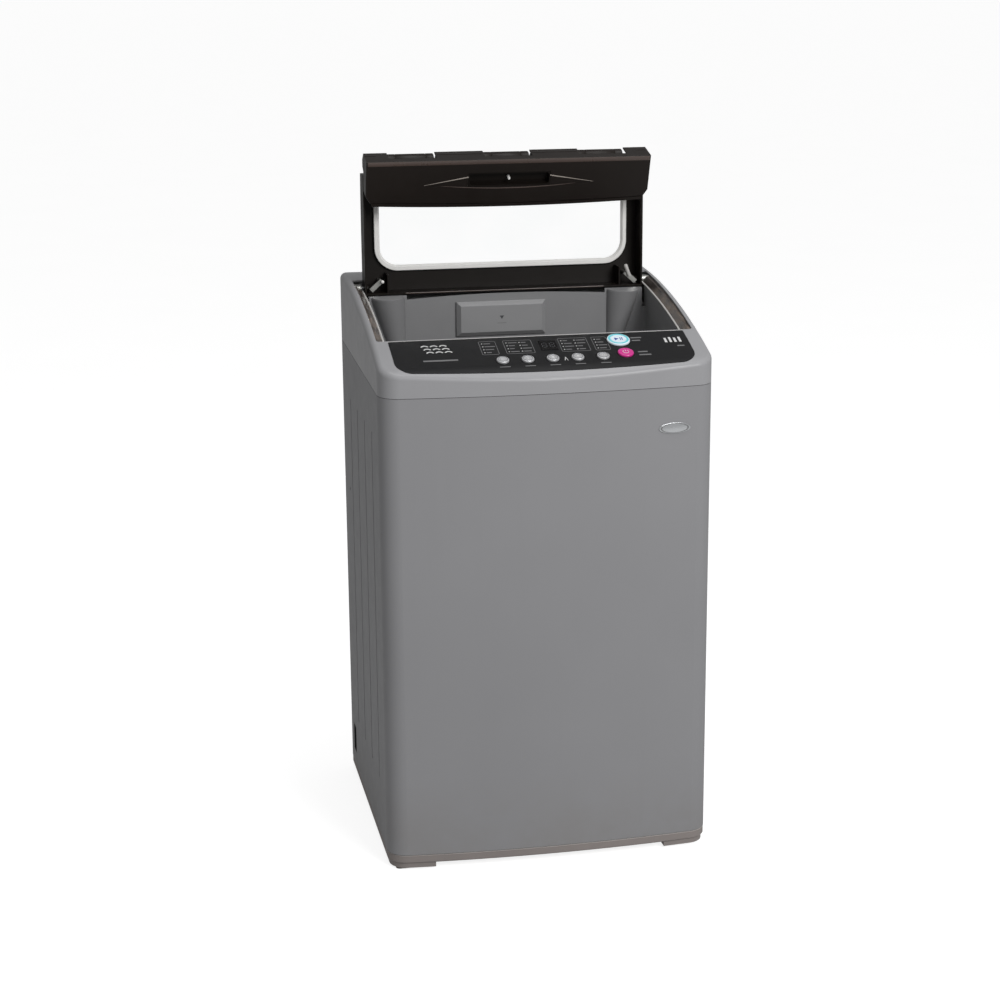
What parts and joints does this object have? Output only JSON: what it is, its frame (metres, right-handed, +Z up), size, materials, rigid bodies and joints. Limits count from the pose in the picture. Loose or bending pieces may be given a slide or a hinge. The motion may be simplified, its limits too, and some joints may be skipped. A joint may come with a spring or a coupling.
{
  "type": "top load washing machine",
  "caption": "Top load washing machine with a folding lid, a sloping button panel, a hanging tub with a spin drum and pulsator, and a belt drive.",
  "frame": {"origin": "on the floor, under the middle of the footprint from the front crown to the hose ports", "axes": "+X to the user's right, +Y to the back, +Z up"},
  "size_m": [0.55, 0.528, 1.1568],
  "materials": {
    "cabinet_paint": "satin powder coat",
    "galvanised": "galvanised sheet",
    "cover_grey": "painted satin plastic",
    "base_taupe": "moulded grain",
    "black_plastic": "fine grain",
    "foot_rubber": "matte",
    "foot_grey": "moulded",
    "badge_silver": "satin metallised",
    "surround_grey": "moulded satin",
    "rail_brown": "mottled",
    "panel_gloss": "high gloss film",
    "display_smoke": "smoked acrylic",
    "button_silver": "satin metallised",
    "power_magenta": "gloss",
    "start_white": "gloss, lit rim",
    "board_green": "solder mask",
    "drawer_grey": "moulded satin",
    "housing_white": "moulded",
    "lid_brown": "gloss",
    "lid_brown_light": "gloss",
    "window_clear": "clear",
    "bezel_white": "satin",
    "steel": "turned",
    "zinc_plate": "zinc plated",
    "spring_steel": "oiled",
    "stainless": "pressed stainless",
    "tub_plastic": "filled polypropylene",
    "ring_grey": "satin",
    "pulsator_grey": "satin",
    "cap_silver": "metallised",
    "filter_blue": "moulded",
    "cast_alloy": "die cast",
    "motor_black": "dip varnish",
    "belt_rubber": "matte",
    "valve_white": "moulded",
    "capacitor_can": "drawn can"
  },
  "bodies": {
    "root": {"cabinet": "cabinet_paint", "rear_cover": "galvanised", "base": "base_taupe", "foot_pads": "foot_rubber", "side_grips": "black_plastic", "screws": "black_plastic", "badge": "badge_silver", "top_cover": "cover_grey", "opening_surround": "surround_grey", "side_rail_left": "rail_brown", "side_rail_right": "rail_brown", "control_panel": "panel_gloss", "display_window": "display_smoke", "control_board": "board_green", "dispenser_housing": "housing_white", "inlet_valve": "valve_white", "hinge_brackets": "zinc_plate", "hinge_pins": "steel", "lid_switch": "black_plastic", "suspension_brackets": "zinc_plate", "suspension_rods": "steel", "suspension_springs": "spring_steel", "drain_spigot": "black_plastic", "power_gland": "black_plastic", "pressure_sensor": "valve_white", "capacitor": "capacitor_can"},
    "lid_rear": {"lid_rear_frame": "lid_brown", "lid_window": "window_clear", "window_bezel": "bezel_white", "hinge_arms": "zinc_plate"},
    "lid_front": {"lid_front_panel": "lid_brown_light", "lid_grip": "lid_brown", "fold_pin": "steel"},
    "drawer": {"detergent_drawer": "drawer_grey"},
    "switch_lever": {"lid_switch_lever": "housing_white"},
    "foot": {"adjustable_foot": "foot_grey"},
    "tub_assembly": {"outer_tub": "tub_plastic", "tub_cover": "tub_plastic", "gearcase": "cast_alloy", "support_plate": "zinc_plate", "motor": "motor_black", "drive_belt": "belt_rubber", "drain_valve": "valve_white"},
    "drum_group": {"drum": "stainless", "balance_ring": "ring_grey", "lint_filter": "filter_blue", "spin_shaft": "steel"},
    "pulsator_group": {"pulsator": "pulsator_grey", "pulsator_cap": "cap_silver", "drive_shaft": "steel"},
    "gear_input": {"input_pulley": "cast_alloy"},
    "motor_drive": {"motor_pulley": "cast_alloy"},
    "soak_button": {"soak_button": "button_silver"},
    "wash_button": {"wash_button": "button_silver"},
    "rinse_button": {"rinse_button": "button_silver"},
    "spin_button": {"spin_button": "button_silver"},
    "water_level_button": {"water_level_button": "button_silver"},
    "power_button": {"power_button": "power_magenta"},
    "start_button": {"start_button": "start_white"}
  },
  "joints": [
    {"name": "lid_hinge", "type": "hinge", "parent": "root", "child": "lid_rear", "pos_m": [0, 0.139, 0.921], "axis": [1, 0, 0], "range_deg": [0, 99.3]},
    {"name": "lid_fold", "type": "hinge", "parent": "lid_rear", "child": "lid_front", "pos_m": [0, 0.104, 1.14], "axis": [1, 0, 0], "range_deg": [-194.4, 0]},
    {"name": "soak_button_press", "type": "slide", "parent": "root", "child": "soak_button", "axis": [0, -0.3409, 0.9401], "range_m": [-0.0015, 0], "stiffness_N_per_m": 600, "springref_m": 0.0005},
    {"name": "wash_button_press", "type": "slide", "parent": "root", "child": "wash_button", "axis": [0, -0.3409, 0.9401], "range_m": [-0.0015, 0], "stiffness_N_per_m": 600, "springref_m": 0.0005},
    {"name": "rinse_button_press", "type": "slide", "parent": "root", "child": "rinse_button", "axis": [0, -0.3409, 0.9401], "range_m": [-0.0015, 0], "stiffness_N_per_m": 600, "springref_m": 0.0005},
    {"name": "spin_button_press", "type": "slide", "parent": "root", "child": "spin_button", "axis": [0, -0.3409, 0.9401], "range_m": [-0.0015, 0], "stiffness_N_per_m": 600, "springref_m": 0.0005},
    {"name": "water_level_button_press", "type": "slide", "parent": "root", "child": "water_level_button", "axis": [0, -0.3409, 0.9401], "range_m": [-0.0015, 0], "stiffness_N_per_m": 600, "springref_m": 0.0005},
    {"name": "power_button_press", "type": "slide", "parent": "root", "child": "power_button", "axis": [0, -0.3361, 0.9418], "range_m": [-0.0015, 0], "stiffness_N_per_m": 600, "springref_m": 0.0005},
    {"name": "start_button_press", "type": "slide", "parent": "root", "child": "start_button", "axis": [0, -0.3077, 0.9515], "range_m": [-0.0015, 0], "stiffness_N_per_m": 600, "springref_m": 0.0005},
    {"name": "drawer_slide", "type": "slide", "parent": "root", "child": "drawer", "axis": [0, -1, 0], "range_m": [0, 0.075]},
    {"name": "lid_switch_press", "type": "slide", "parent": "root", "child": "switch_lever", "axis": [0, 0, 1], "range_m": [-0.0015, 0], "stiffness_N_per_m": 300, "springref_m": 0.0005},
    {"name": "foot_height", "type": "slide", "parent": "root", "child": "foot", "axis": [0, 0, 1], "range_m": [-0.012, 0]},
    {"name": "tub_suspension", "type": "slide", "parent": "root", "child": "tub_assembly", "axis": [0, 0, 1], "range_m": [-0.015, 0.008], "stiffness_N_per_m": 8000, "springref_m": 0.02453, "deforming": ["suspension_springs"]},
    {"name": "drum_spin", "type": "hinge", "parent": "tub_assembly", "child": "drum_group", "pos_m": [0, -0.014, 0.5], "axis": [0, 0, 1], "continuous": true},
    {"name": "pulsator_spin", "type": "hinge", "parent": "tub_assembly", "child": "pulsator_group", "pos_m": [0, -0.014, 0.32], "axis": [0, 0, 1], "continuous": true},
    {"name": "input_pulley_spin", "type": "hinge", "parent": "tub_assembly", "child": "gear_input", "pos_m": [0, -0.014, 0.112], "axis": [0, 0, 1], "continuous": true},
    {"name": "motor_pulley_spin", "type": "hinge", "parent": "tub_assembly", "child": "motor_drive", "pos_m": [-0.14, -0.014, 0.112], "axis": [0, 0, 1], "continuous": true}
  ],
  "couplings": [
    {"joint": "lid_fold", "follows": "lid_hinge", "ratio": -1.9567},
    {"joint": "input_pulley_spin", "follows": "pulsator_spin", "ratio": 5.1},
    {"joint": "motor_pulley_spin", "follows": "pulsator_spin", "ratio": 12.75}
  ]
}
